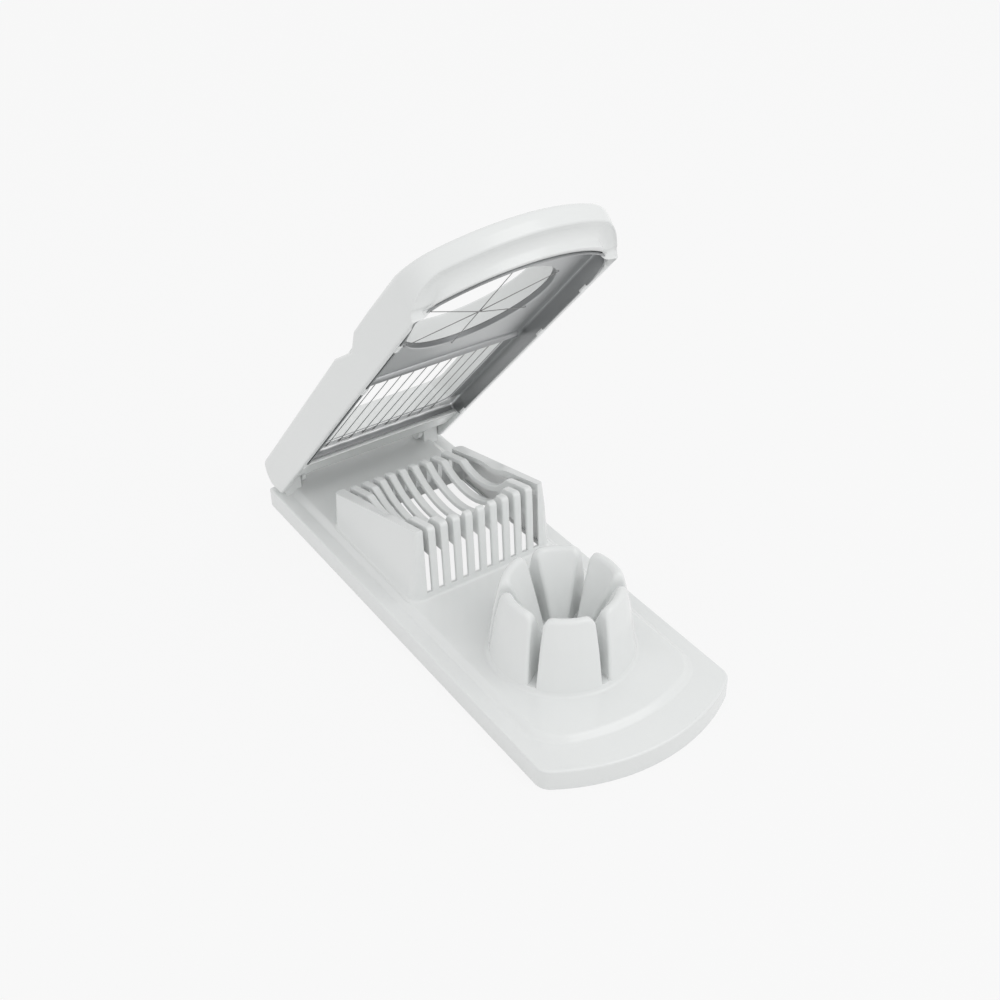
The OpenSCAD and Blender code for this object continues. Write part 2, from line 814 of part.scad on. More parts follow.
base_plate();
cradle_foot();
cradle_ribs();
cradle_side_left();
cradle_side_right();
wedge_cup();
hinge_post_left();
hinge_post_right();
hinge_pin_left();
hinge_pin_right();
lid_frame();
wire_frame();
slicing_wire();
wedge_wire();
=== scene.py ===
import json
from math import asin, atan2, cos, hypot, pi, radians, sin, sqrt, tan

import bmesh
import bpy
from mathutils import Matrix, Vector


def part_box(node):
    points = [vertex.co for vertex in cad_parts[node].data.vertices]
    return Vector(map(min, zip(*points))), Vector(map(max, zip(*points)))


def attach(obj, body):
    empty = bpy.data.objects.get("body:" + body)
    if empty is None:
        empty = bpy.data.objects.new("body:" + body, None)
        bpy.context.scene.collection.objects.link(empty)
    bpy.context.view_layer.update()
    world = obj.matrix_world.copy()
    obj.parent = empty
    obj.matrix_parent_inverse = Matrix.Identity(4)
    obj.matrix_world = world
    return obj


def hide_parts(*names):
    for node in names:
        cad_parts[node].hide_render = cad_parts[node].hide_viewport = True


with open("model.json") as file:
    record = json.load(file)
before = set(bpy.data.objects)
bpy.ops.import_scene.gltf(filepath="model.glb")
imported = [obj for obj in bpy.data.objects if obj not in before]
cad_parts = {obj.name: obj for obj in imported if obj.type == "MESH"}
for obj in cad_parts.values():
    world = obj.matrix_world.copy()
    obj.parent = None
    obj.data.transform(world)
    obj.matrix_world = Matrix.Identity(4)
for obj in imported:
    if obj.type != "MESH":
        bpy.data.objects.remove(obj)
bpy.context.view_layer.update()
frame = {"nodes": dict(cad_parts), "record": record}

mm = 0.001

# lengths are in millimetres until a piece is finished: s runs forward from the base's rear edge,
# u forward from the hinge axis and w up from the lid's own plane
baseLow, baseHigh = (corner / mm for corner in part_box("base_plate"))
footLow, footHigh = (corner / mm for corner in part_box("cradle_foot"))
cupLow, cupHigh = (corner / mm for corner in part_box("wedge_cup"))
plateauZ, rearY = baseHigh.z, baseHigh.y
hinge = next(j for j in frame["record"]["behaviour"]["joints"] if j["name"] == "lid_hinge")
hingeAt = Vector(hinge["pos_m"]) / mm
openAngle = radians(-hinge["range_deg"][0])
lidPlace = Matrix.Translation(hingeAt) @ Matrix.Rotation(-openAngle, 4, "X")

weld = 0.0005  # corners nearer than this become one
edgeSegments = 3  # in each bevelled edge
rearSteps = 6  # in the small arc at each rear corner of an arched plan


def arc(centre, radius, start, end, steps):
    turns = [radians(start + (end - start) * k / steps) for k in range(steps + 1)]
    return [(centre[0] + radius * cos(t), centre[1] + radius * sin(t)) for t in turns]


def circle(centre, radius, steps):
    return arc(centre, radius, 0, 360, steps)[:-1]


def quarter(steps):
    return [pi / 2 * k / steps for k in range(steps + 1)]


# a quarter round as pairs that both grow from none
def rounding(radius, steps):
    return [(radius * (1 - cos(t)), radius * sin(t)) for t in quarter(steps)]


# a quarter round as pairs, the first falling to none while the second grows
def fillet(radius, steps):
    return [(radius * (1 - sin(t)), radius * (1 - cos(t))) for t in quarter(steps)]


def smoothStep(low, high, value):
    t = min(max((value - low) / (high - low), 0), 1)
    return t * t * (3 - 2 * t)


# an arc in place of a corner between two straight stretches
def roundCorner(before, corner, after, radius, steps):
    corner = Vector(corner)
    one, two = (Vector(before) - corner).normalized(), (Vector(after) - corner).normalized()
    half = one.angle(two) / 2
    centre = corner + (one + two).normalized() * radius / sin(half)
    start, turn = corner + one * radius / tan(half) - centre, two.angle_signed(one)
    swing = (pi - 2 * half) * (1 if turn < 0 else -1)
    turns = [Matrix.Rotation(swing * k / steps, 2) for k in range(steps + 1)]
    return [tuple(centre + spin @ start) for spin in turns]


# straight sides and an arched front, as (x, s): the point count never depends on the sizes
def archedPlan(half, rear, front, frontR, cornerR, rearR, sides=(), frontSteps=28, cornerSteps=10):
    leastCorner, leastRear = 0.2, 0.05
    cornerR, rearR = max(cornerR, leastCorner), max(rearR, leastRear)
    side, centre = half - cornerR, front - frontR
    drop = sqrt((frontR - cornerR) ** 2 - side ** 2)
    swing = atan2(drop, side) * 180 / pi
    left = arc((-half + rearR, rear + rearR), rearR, 270, 180, rearSteps)
    left += [(-half, s) for s in sides]
    left += arc((-side, centre + drop), cornerR, 180, 180 - swing, cornerSteps)
    right = [(-x, s) for x, s in reversed(left)]
    return left + arc((0, centre), frontR, 180 - swing, swing, frontSteps)[1:-1] + right


def roundBox(halfX, low, high, radius, steps=8):
    corners = [(halfX - radius, high - radius, 0), (radius - halfX, high - radius, 90),
               (radius - halfX, low + radius, 180), (halfX - radius, low + radius, 270)]
    return [p for x, y, start in corners for p in arc((x, y), radius, start, start + 90, steps)]


# a skin over closed rings, bridged as an open stack and then pressed to its place
def loft(bm, rings, closed=False):
    apart = 50
    stack = [[bm.verts.new((x, y, apart * k)) for x, y, z in ring] for k, ring in enumerate(rings)]
    loops = [[bm.edges.new(pair) for pair in zip(verts, verts[1:] + verts[:1])] for verts in stack]
    for low, high in zip(loops, loops[1:] + (loops[:1] if closed else [])):
        bmesh.ops.bridge_loops(bm, edges=low + high)
    for verts, ring in zip(stack, rings):
        for vert, place in zip(verts, ring):
            vert.co = place
    return loops[0], loops[-1]


# a fill inside the first loop, with the others as holes
def cap(bm, *loops):
    bmesh.ops.triangle_fill(bm, use_beauty=True, edges=[e for edges in loops for e in edges])


def bevelEdges(bm, edges, width, clamp=True):
    bmesh.ops.bevel(bm, geom=edges, offset=width, offset_type="OFFSET", segments=edgeSegments,
                    profile=0.5, affect="EDGES", material=-1, clamp_overlap=clamp)


# a second skin joined to the grid's own along its rim: its corners, with their places in the grid
def thicken(bm, places):
    faces, rim = list(bm.faces), [e.link_loops[0] for e in bm.edges if e.is_boundary]
    rim = [(corner.vert, corner.link_loop_next.vert) for corner in rim]
    twin = {vert: bm.verts.new(vert.co) for vert in places}
    for face in faces:
        bm.faces.new([twin[vert] for vert in face.verts])
    for one, two in rim:
        bm.faces.new((one, two, twin[two], twin[one]))
    return {twin[vert]: place for vert, place in places.items()}


# a box from corner to corner with its edges rounded
def roundedBlock(bm, low, high, radius):
    size = Vector(high) - Vector(low)
    middle = (Vector(high) + Vector(low)) / 2
    place = Matrix.Translation(middle) @ Matrix.Diagonal((*size, 1))
    made = bmesh.ops.create_cube(bm, size=1, matrix=place)
    bevelEdges(bm, list(dict.fromkeys(e for v in made["verts"] for e in v.link_edges)), radius)


# a side view in (along, up), pulled across x with its rims rounded
def pulledAcross(bm, outline, x0, x1, radius):
    verts = [bm.verts.new((x0, along, up)) for along, up in outline]
    face = bm.faces.new(verts)
    made = bmesh.ops.extrude_face_region(bm, geom=[face], use_keep_orig=True)["geom"]
    moved = [g for g in made if isinstance(g, bmesh.types.BMVert)]
    bmesh.ops.translate(bm, verts=moved, vec=(x1 - x0, 0, 0))
    far = [g for g in made if isinstance(g, bmesh.types.BMFace)]
    bevelEdges(bm, [*face.edges, *(e for f in far for e in f.edges)], radius)


def piece(name, bm, body, finish, nodes, place=Matrix(), sharp=40):
    bmesh.ops.remove_doubles(bm, verts=bm.verts, dist=weld)
    bmesh.ops.recalc_face_normals(bm, faces=bm.faces)
    bmesh.ops.transform(bm, verts=bm.verts, matrix=Matrix.Scale(mm, 4) @ place)
    loose = sum(not e.is_manifold for e in bm.edges)
    mesh = bpy.data.meshes.new(name)
    bm.to_mesh(mesh)
    bm.free()
    mesh.shade_smooth()
    mesh.set_sharp_from_angle(angle=radians(sharp))
    mesh.materials.append(finish)
    made = bpy.data.objects.new(name, mesh)
    bpy.context.scene.collection.objects.link(made)
    weighted = made.modifiers.new("evenShading", "WEIGHTED_NORMAL")
    weighted.keep_sharp = True
    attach(made, body)
    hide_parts(*nodes)
    print(name, len(mesh.polygons), "faces", loose, "open edges")


# a socket in a node tree, with arithmetic
class Signal:
    def __init__(self, tree, socket=None):
        self.tree, self.socket = tree, socket

    def node(self, kind, settings=None, values=None, out=0):
        made = self.tree.nodes.new(kind)
        for key, value in (settings or {}).items():
            setattr(made, key, value)
        for key, value in (values or {}).items():
            if isinstance(value, Signal):
                self.tree.links.new(value.socket, made.inputs[key])
            else:
                made.inputs[key].default_value = value
        return Signal(self.tree, made.outputs[out] if made.outputs else None)

    def maths(self, operation, a, b):
        return self.node("ShaderNodeMath", {"operation": operation}, {0: a, 1: b})

    def __add__(self, other):
        return self.maths("ADD", self, other)

    def __radd__(self, other):
        return self.maths("ADD", other, self)

    def __sub__(self, other):
        return self.maths("SUBTRACT", self, other)

    def __rsub__(self, other):
        return self.maths("SUBTRACT", other, self)

    def __mul__(self, other):
        return self.maths("MULTIPLY", self, other)

    def __rmul__(self, other):
        return self.maths("MULTIPLY", other, self)


def newFinish(name):
    material = bpy.data.materials.new(name)
    material.use_nodes = True
    material.node_tree.nodes.clear()
    return material, Signal(material.node_tree)


def surface(start, values):
    shader = start.node("ShaderNodeBsdfPrincipled", None, values)
    start.node("ShaderNodeOutputMaterial", None, {"Surface": shader})


def noise(start, place, scale, detail):
    values = {"Vector": place, "Scale": scale, "Detail": detail}
    return start.node("ShaderNodeTexNoise", None, values)


def bumped(start, look, height):
    values = {"Strength": look["bump"], "Distance": look["bumpDeep"], "Height": height}
    return start.node("ShaderNodeBump", None, values)


# sockets 6, 7 and 2 are the mix node's two colours and its colour result
def mixColour(start, factor, a, b):
    return start.node("ShaderNodeMix", {"data_type": "RGBA"}, {0: factor, 6: a, 7: b}, out=2)


shellLook = {
    "white": (0.85, 0.865, 0.86, 1), "shade": (0.83, 0.845, 0.84, 1),
    "cloud": 28, "grain": 2600, "sink": 70, "grainHeight": 0.25, "bump": 0.05, "bumpDeep": 0.0004,
    "rough": 0.14, "cloudRough": 0.12, "grainRough": 0.05,
    "index": 1.49, "coat": 0.15, "coatRough": 0.12,
}


# glossy white plastic: faint clouds, the mould's fine grain and shallow sink marks
def moulded(look):
    material, start = newFinish("mouldedWhite")
    place = start.node("ShaderNodeTexCoord", out="Object")
    cloud = noise(start, place, look["cloud"], 3)
    grain = noise(start, place, look["grain"], 2)
    sink = noise(start, place, look["sink"], 1)
    surface(start, {
        "Base Color": mixColour(start, cloud, look["white"], look["shade"]),
        "Roughness": cloud * look["cloudRough"] + grain * look["grainRough"] + look["rough"],
        "IOR": look["index"], "Coat Weight": look["coat"], "Coat Roughness": look["coatRough"],
        "Normal": bumped(start, look, grain * look["grainHeight"] + sink),
    })
    return material


metalLook = {
    "streak": 1400, "cloud": 38, "streakTone": 0.3, "cloudTone": 0.7,
    "bump": 0.03, "bumpDeep": 0.0001, "streakRough": 0.08, "cloudRough": 0.06,
}
# the spans are metres in the lid's frame, each from no effect to its full effect
sheetLook = metalLook | {
    "bright": (0.56, 0.57, 0.575, 1), "dark": (0.51, 0.52, 0.525, 1), "rough": 0.32,
    # turned is the colour of painted shade on the rim below the sheet and on the collar above it,
    # stronger at the rear
    "turned": (0.26, 0.265, 0.27, 1), "turnedPart": 0.6, "turnedRear": 0.3,
    # rear is a pale painted reflection on the underside of the rear strip
    "rear": (0.95, 0.955, 0.955, 1), "rearSpan": (-0.037, -0.0345),
    "underSpan": (-0.0004, -0.00057), "belowSpan": (-0.0008, -0.0018), "aboveSpan": (-0.0005, 0),
    "stretch": (0.03, 1, 1),
}
wireLook = metalLook | {
    "bright": (0.34, 0.34, 0.34, 1), "dark": (0.26, 0.26, 0.26, 1), "rough": 0.24,
    "stretch": (1, 0.1, 0.1),
}
pinLook = metalLook | {
    "bright": (0.55, 0.55, 0.55, 1), "dark": (0.45, 0.45, 0.45, 1), "rough": 0.24,
    "stretch": (0.05, 1, 1),
}


# steel in the lid's own frame: streaks run one way, the rim and the collar get painted shade, and
# the rear strip's underside a pale painted reflection
def rolled(name, look):
    material, start = newFinish(name)
    still = start.node("ShaderNodeTexCoord", out="Object")
    back = lidPlace.inverted()
    asPoint = {"vector_type": "POINT"}
    place = start.node("ShaderNodeMapping", asPoint, {
        "Vector": still, "Location": back.translation * mm, "Rotation": back.to_euler()})
    lines = start.node("ShaderNodeMapping", asPoint, {"Vector": place, "Scale": look["stretch"]})
    streak = noise(start, lines, look["streak"], 3)
    cloud = noise(start, place, look["cloud"], 2)

    def between(axis, span):
        along = start.node("ShaderNodeSeparateXYZ", None, {"Vector": place}, out=axis)
        return start.node("ShaderNodeMapRange", {"interpolation_type": "SMOOTHSTEP"},
                          {"Value": along, "From Min": span[0], "From Max": span[1]})

    tone = cloud * look["cloudTone"] + streak * look["streakTone"]
    colour = mixColour(start, tone, look["dark"], look["bright"])
    if "turned" in look:
        rear, under = between("Y", look["rearSpan"]), between("Z", look["underSpan"])
        below, above = between("Z", look["belowSpan"]), between("Z", look["aboveSpan"])
        # a painted reflection: the rear strip's underside is made pale
        colour = mixColour(start, rear * under * (1 - below), colour, look["rear"])
        # painted shade on the rim below the sheet, more along the rear strip, and on the collar
        # above it
        paintedShade = below * (rear * look["turnedRear"] + look["turnedPart"]) + above
        colour = mixColour(start, paintedShade, colour, look["turned"])
    surface(start, {
        "Base Color": colour, "Metallic": 1.0,
        "Roughness": streak * look["streakRough"] + cloud * look["cloudRough"] + look["rough"],
        "Normal": bumped(start, look, streak),
    })
    return material


shellWhite = moulded(shellLook)
sheetSteel = rolled("rolledSheet", sheetLook)
wireSteel = rolled("drawnWire", wireLook)
pinSteel = rolled("turnedPin", pinLook)
for side in ("left", "right"):
    slots = frame["nodes"]["hinge_pin_" + side].data.materials
    slots.clear()
    slots.append(pinSteel)
print("finishes made")


base = {
    "half": baseHigh.x, "length": baseHigh.y - baseLow.y, "flange": 8.5, "wall": 2,
    "frontR": 70, "cornerR": 6, "rearR": 1.0, "edgeR": 0.8, "footR": 0.5,
    "plateauInset": 8.2, "plateauRear": 0.6, "plateauRun": 0.15, "plateauFront": 190.5,
    "plateauFrontR": 66, "plateauCornerR": 13, "plateauRearR": 0.3,
    "shoulderOut": 3.0, "shoulderIn": -0.6, "shoulderSteps": 12,
    "holeLap": 0.4, "holeR": 1.5, "holeSteps": 72,
}


def basePlan(inset, z):
    plan = archedPlan(base["half"] - inset, inset, base["length"] - inset, base["frontR"] - inset,
                      base["cornerR"] - inset / 2, base["rearR"] - inset)
    return [(x, rearY - s, z) for x, s in plan]


# the plateau runs out at the rear face, with soft shoulders on its other sides
def plateauPlan(spread, z, rear):
    plan = archedPlan(base["half"] - base["plateauInset"] + spread, rear,
                      base["plateauFront"] + spread, base["plateauFrontR"] + spread,
                      base["plateauCornerR"] + spread, base["plateauRearR"])
    return [(x, rearY - s, z) for x, s in plan]


# skirt, flange, shoulder and plateau in one shell, open under the cradle and the cup
def makeBasePlate():
    bm = bmesh.new()
    flange, wall, steps = base["flange"], base["wall"], base["shoulderSteps"]
    rings = [basePlan(wall, 0)]
    rings += [basePlan(inset, z) for inset, z in fillet(base["footR"], 3)]
    rings += [basePlan(inset, flange - base["edgeR"] + up)
              for inset, up in rounding(base["edgeR"], 6)]
    for k in range(steps + 1):
        spread = base["shoulderOut"] + (base["shoulderIn"] - base["shoulderOut"]) * k / steps
        z = flange + (plateauZ - flange) * (1 - cos(pi * k / steps)) / 2
        rings.append(plateauPlan(spread, z, base["plateauRear"] + base["plateauRun"] * k / steps))
    crest = loft(bm, rings)[1]

    def cradleHole(z):
        inset = cradle["skin"] - base["holeLap"]
        plan = roundBox(cradle["half"] - inset, cradle["front"] + inset, cradle["rear"] - inset,
                        base["holeR"])
        return [(x, y, z) for x, y in plan]

    def cupHole(z):
        plan = circle((0, cup["y"]), cup["footR"] - cup["skin"], base["holeSteps"])
        return [(x, y, z) for x, y in plan]

    under = plateauZ - wall
    topCradle, lowCradle = loft(bm, [cradleHole(plateauZ), cradleHole(under)])
    topCup, lowCup = loft(bm, [cupHole(plateauZ), cupHole(under)])
    cap(bm, crest, topCradle, topCup)
    ceiling = loft(bm, [plateauPlan(-wall, under, 2 * wall),
                        plateauPlan(-wall, flange - wall, 2 * wall),
                        basePlan(wall, flange - wall), basePlan(wall, 0)])[0]
    cap(bm, ceiling, lowCradle, lowCup)
    piece("basePlate", bm, "base", shellWhite, ["base_plate"])


cradle = {
    "half": footHigh.x + 0.8, "rear": footHigh.y + 1.3, "front": footLow.y - 0.9,
    "frontLean": 0.043, "draft": radians(7.0), "rearH": 14.5, "frontH": 30.7,
    "skin": 1.1, "arch": 1.6, "archMost": 18.2, "slotFloor": footHigh.z - plateauZ,
    "wires": 10, "pitch": 5.32, "slot": 2.2, "cornerR": 4.5, "topCornerR": 1.6, "cornerSteps": 12,
    "dishR": 35, "dishHalf": 31.8, "dishLift": 20.3, "dishSoft": 0.8,
    "crease": 1.4, "creaseGap": 0.2, "noseR": 1.7, "edgeR": 0.6,
    "filletR": 1.0, "innerR": 1.2, "hang": 0.1, "sunk": 0.2,
}
cradleSlope = (cradle["frontH"] - cradle["rearH"]) / (footHigh.y - footLow.y)
steep = sqrt(1 + cradleSlope ** 2)
slotFace = (cradle["wires"] - 1) / 2 * cradle["pitch"] + cradle["slot"] / 2


# the cradle's front leans back as it rises
def faceY(z):
    return cradle["front"] + cradle["frontLean"] * z


# height of the cradle's sloping top over the plateau
def topLine(y):
    return cradle["rearH"] + (footHigh.y - y) * cradleSlope


cradleMid = (cradle["rear"] + cradle["front"]) / 2
dishMid = cradleMid + cradle["dishLift"] * cradleSlope / steep
dishZ = topLine(cradleMid) + cradle["dishLift"] / steep


def dishRadius(x, swell):
    waist = 1 - (x / (cradle["dishHalf"] + swell)) ** 2
    return (cradle["dishR"] + swell) * sqrt(max(waist, 0))


# the top with the egg's dish pressed in, square to the slope, and the crease between softened
def cradleTop(x, y, thick=0):
    line = topLine(y) - thick * steep
    reach = dishRadius(x, thick) ** 2 - (y - dishMid) ** 2
    if reach <= 0:
        return line
    dish, soft = dishZ - sqrt(reach), cradle["dishSoft"]
    return min(line, dish) - max(soft - abs(line - dish), 0) ** 2 / (4 * soft)


# places along y where the dish leaves the top line, for a cut at x
def dishEnds(x, thick):
    low = -(cradle["dishLift"] + thick) * steep
    a, b, c = steep ** 2, 2 * low * cradleSlope, low ** 2 - dishRadius(x, thick) ** 2
    root = sqrt(b * b - 4 * a * c)
    return dishMid + (b - root) / (2 * a), dishMid + (b + root) / (2 * a)


# side view of a rib at x, from the front foot over its top and back along its underside
def ribOutline(x):
    skin, foot, rear, lean = (cradle[key] for key in ("skin", "slotFloor", "rear", "frontLean"))
    ribSteps, creaseSteps, noseSteps = 30, 4, 7
    frontY = (cradle["front"] + lean * topLine(0)) / (1 + lean * cradleSlope)

    # closer together at the dish's ends, with the softened stretch outside it
    def along(first, last, thick):
        low, high = dishEnds(x, thick)
        crease, gap = cradle["crease"], cradle["creaseGap"]
        early, late = max(low - crease, first + gap), min(high + crease, last - gap)
        low, high = max(low, early + gap), min(high, late - gap)
        ys = [early + (low - early) * k / creaseSteps for k in range(creaseSteps)]
        for k in range(ribSteps + 1):
            share = (k / ribSteps + (1 - cos(pi * k / ribSteps)) / 2) / 2
            ys.append(low + (high - low) * share)
        ys += [high + (late - high) * (k + 1) / creaseSteps for k in range(creaseSteps)]
        return [(y, cradleTop(x, y, thick)) for y in ys]

    head, heel = (frontY, topLine(frontY)), (rear, topLine(rear))
    nose = roundCorner((faceY(foot), foot), head, heel, cradle["noseR"], noseSteps)
    tail = roundCorner(head, heel, (rear, foot), cradle["noseR"], noseSteps)
    outer = [(faceY(foot), foot), *nose, *along(nose[-1][0], tail[0][0], 0), *tail, (rear, foot)]
    arch = cradle["arch"]
    first, last = faceY(cradle["archMost"]) + skin, rear - skin
    under = [(first, cradleTop(x, first, arch)), *along(first, last, arch),
             (last, cradleTop(x, last, arch))]
    inner = [(y, min(z, cradle["archMost"])) for y, z in reversed(under)]
    return outer, [(rear - skin, foot), *inner, (faceY(foot) + skin, foot)]


# the ribs between the slots, each an arch with its upper rims rounded
def makeRibs():
    bm = bmesh.new()
    foot = plateauZ + cradle["slotFloor"]
    for i in range(cradle["wires"] - 1):
        middle = (i - (cradle["wires"] - 2) / 2) * cradle["pitch"]
        half = (cradle["pitch"] - cradle["slot"]) / 2
        one = bmesh.new()
        outer, inner = ribOutline(middle)
        near = [one.verts.new((middle - half, y, plateauZ + z)) for y, z in outer + inner]
        far = [one.verts.new((middle + half, y, plateauZ + z)) for y, z in outer + inner]
        rims = [*one.faces.new(near).edges, *one.faces.new(far).edges]
        bmesh.ops.bridge_loops(one, edges=rims)
        bmesh.ops.recalc_face_normals(one, faces=one.faces)
        inside = set(near[len(outer):] + far[len(outer):])
        rims = [e for e in rims if not inside.issuperset(e.verts)
                and max(v.co.z for v in e.verts) > foot + weld]
        bevelEdges(one, rims, cradle["edgeR"], clamp=False)
        mesh = bpy.data.meshes.new("rib")
        one.to_mesh(mesh)
        one.free()
        bm.from_mesh(mesh)
        bpy.data.meshes.remove(mesh)
    piece("cradleRibs", bm, "base", shellWhite, ["cradle_ribs"], sharp=50)


ends = {
    "columns": 56, "rows": 14, "bunch": 0.85, "cornerHigh": 20, "least": 0.35,
    "hollow": 1.5, "hollowRim": (0.9, 1.9), "hollowHead": (0.75, 0.88), "tries": 8,
}


# the end beyond the last slot: a grid over its drafted outside, pushed in to the slot's face
def makeEnds():
    rear, foot = cradle["rear"], cradle["slotFloor"]

    # half width with the upright corners rounded, tighter towards the top
    def outside(y, z):
        flat = cradle["half"] - z * tan(cradle["draft"])
        tighter = (cradle["topCornerR"] - cradle["cornerR"]) * min(z / ends["cornerHigh"], 1)
        radius = min(cradle["cornerR"] + tighter, flat - slotFace - ends["least"])
        edge = max(min(y - faceY(z), rear - y), 0)
        return flat - (radius - sqrt(radius ** 2 - (radius - edge) ** 2) if edge < radius else 0)

    # width and height depend on each other, so they are found in turns
    def spot(across, rise, inner):
        share = ends["bunch"] * (1 - cos(pi * across)) / 2 + (1 - ends["bunch"]) * across
        x, z = slotFace, foot
        for turn in range(ends["tries"]):
            y = faceY(z) + (rear - faceY(z)) * share
            z = foot + rise * (cradleTop(x, y) - foot)
            x = outside(y, z)
            if inner:
                deep = smoothStep(*ends["hollowRim"], min(y - faceY(z), rear - y))
                deep *= 1 - smoothStep(*ends["hollowHead"], rise)
                x = slotFace + max(x - ends["hollow"] - slotFace, 0) * deep
        return x, y, plateauZ + z

    def onRim(edge, verts):
        if not all(v in verts for v in edge.verts):
            return False
        near = 0.001
        spots = [verts[v] for v in edge.verts]
        return all(rise > 1 - near for across, rise in spots) or any(
            all(abs(across - side) < near for across, rise in spots) for side in (0, 1))

    for sign, name in ((-1, "cradle_side_left"), (1, "cradle_side_right")):
        bm = bmesh.new()
        grid = bmesh.ops.create_grid(bm, x_segments=ends["columns"], y_segments=ends["rows"],
                                     size=1)["verts"]
        outer = {v: ((v.co.x + 1) / 2, (v.co.y + 1) / 2) for v in grid}
        inner = thicken(bm, outer)
        for skin in (outer, inner):
            for v, place in skin.items():
                x, y, z = spot(*place, skin is inner)
                v.co = (sign * x, y, z)
        bmesh.ops.recalc_face_normals(bm, faces=bm.faces)
        rims = [e for e in bm.edges if onRim(e, outer) or onRim(e, inner)]
        bevelEdges(bm, rims, cradle["edgeR"])
        piece(name.replace("_side_", "End_"), bm, "base", shellWhite, [name],
              sharp=50)


# the band that the ribs and ends stand on, with a fillet round its foot
def makeCradleFoot():
    bm = bmesh.new()
    high, soft, r = cradle["slotFloor"], cradle["filletR"], cradle["cornerR"]
    lowest = -base["wall"] - cradle["hang"]

    def plan(z, out, radius):
        half = cradle["half"] - max(z, 0) * tan(cradle["draft"]) + out
        corners = roundBox(half, faceY(z) - out, cradle["rear"] + out, radius,
                           cradle["cornerSteps"])
        return [(x, y, plateauZ + z) for x, y in corners]

    rings = [plan(z, -cradle["skin"], cradle["innerR"]) for z in (lowest, high)]
    rings += [plan(high, 0, r), plan(soft, 0, r)]
    rings += [plan(z, out, r + out) for z, out in fillet(soft, 4)[1:]]
    rings += [plan(-cradle["sunk"], soft, r + soft)]
    loft(bm, rings, closed=True)
    piece("cradleFoot", bm, "base", shellWhite, ["cradle_foot"])


# rounds, across and down are distances from a petal's edges to the lines of its grid
cup = {
    "y": (cupLow.y + cupHigh.y) / 2 - 0.5, "height": cupHigh.z - plateauZ - 0.6, "petals": 6,
    "footR": 26, "rimR": 21.3, "rim": 2.6, "belly": 1.45, "floorR": 7, "floor": 2.0,
    "gap": 2.7, "flare": 1.6, "cornerR": 3.4, "edgeR": 1.2, "skin": 1.8,
    "root": 0.3, "funnel": 0.6, "rounds": (0, 0.06, 0.25, 0.55, 0.9, 1.25, 1.7, 2.4, 3.4),
    "across": (4.6, 6.2), "down": (4.8, 6.6, 9, 12),
    "filletR": 1.3, "sunk": 0.2, "brink": 2.2, "brinkDrop": 0.02, "hub": 0.01, "discSteps": 96,
}


# six petals round a funnel, on a round floor
def makeCup():
    height, low = cup["height"], cup["floor"] - cup["root"]
    funnel, tall = cup["floor"] + cup["funnel"], height - low

    # half of a petal's angle
    def spread(radius, z):
        gap = cup["gap"] + cup["flare"] * z / height
        return pi / cup["petals"] - asin(gap / 2 / radius)

    halfArc = cup["rimR"] * spread(cup["rimR"], height)
    columns = [d / halfArc - 1 for d in (*cup["rounds"], *cup["across"], halfArc)]
    columns += [-f for f in reversed(columns[:-1])]
    rows = [1 - d / tall for d in reversed((*cup["rounds"], *cup["down"], tall))]

    def radiusAt(z, inner):
        if not inner:
            return cup["footR"] - (cup["footR"] - cup["rimR"]) * (z / height) ** cup["belly"]
        widens = cup["rimR"] - cup["rim"] - cup["floorR"]
        return cup["floorR"] + widens * max(z - funnel, 0) / (height - funnel)

    # f runs from -1 to 1 across the petal: its upper corners and all its edges are rounded
    def spot(f, rise, inner):
        corner, soft = cup["cornerR"], cup["edgeR"]
        dip = max(corner - halfArc * (1 - abs(f)), 0)
        top = height - corner + sqrt(corner ** 2 - dip ** 2)
        z = low + rise * (top - low)
        r, down = radiusAt(z, inner), height - z
        rim = min(r * spread(r, z) * (1 - abs(f)), down)
        if dip > 0 and down < corner:
            rim = corner - hypot(dip, corner - down)
        short = min(max(soft - rim, 0), soft)
        drop = soft - sqrt(soft ** 2 - short ** 2)
        r += drop if inner else -drop
        turn = f * spread(r, z)
        return r * cos(turn), r * sin(turn), z

    bm = bmesh.new()
    wide, high = len(columns) - 1, len(rows) - 1
    grid = bmesh.ops.create_grid(bm, x_segments=wide, y_segments=high, size=1)["verts"]
    outer = {v: (columns[round((v.co.x + 1) / 2 * wide)], rows[round((v.co.y + 1) / 2 * high)])
             for v in grid}
    inner = thicken(bm, outer)
    for skin in (outer, inner):
        for v, place in skin.items():
            v.co = spot(*place, skin is inner)
    bmesh.ops.recalc_face_normals(bm, faces=bm.faces)
    axis = {"cent": (0, 0, 0), "axis": (0, 0, 1)}
    more = cup["petals"] - 1
    bmesh.ops.spin(bm, geom=bm.verts[:] + bm.edges[:] + bm.faces[:], **axis,
                   angle=2 * pi * more / cup["petals"], steps=more, use_duplicate=True)

    foot, floor, sunk, hub = (cup[key] for key in ("footR", "floor", "sunk", "hub"))
    lean = (foot - cup["rimR"]) / height
    side = [(foot + cup["filletR"], -sunk)]
    side += [(foot + out, z) for out, z in fillet(cup["filletR"], 4)]
    side += [(foot - lean * floor, floor - cup["brinkDrop"]), (foot - cup["brink"], floor)]
    side += [(hub, floor), (hub, -sunk)]
    verts = [bm.verts.new((r, 0, z)) for r, z in side]
    edges = [bm.edges.new(pair) for pair in zip(verts, verts[1:])]
    bmesh.ops.spin(bm, geom=verts + edges, **axis, angle=2 * pi, steps=cup["discSteps"],
                   use_merge=True)
    bm.normal_update()
    bmesh.ops.holes_fill(bm, edges=[e for e in bm.edges if e.is_boundary], sides=0)
    piece("wedgeCup", bm, "base", shellWhite, ["wedge_cup"],
          Matrix.Translation((0, cup["y"], plateauZ)), sharp=50)


post = {"radius": 4.6, "edgeR": 0.5, "sunk": 0.3, "headSteps": 20}


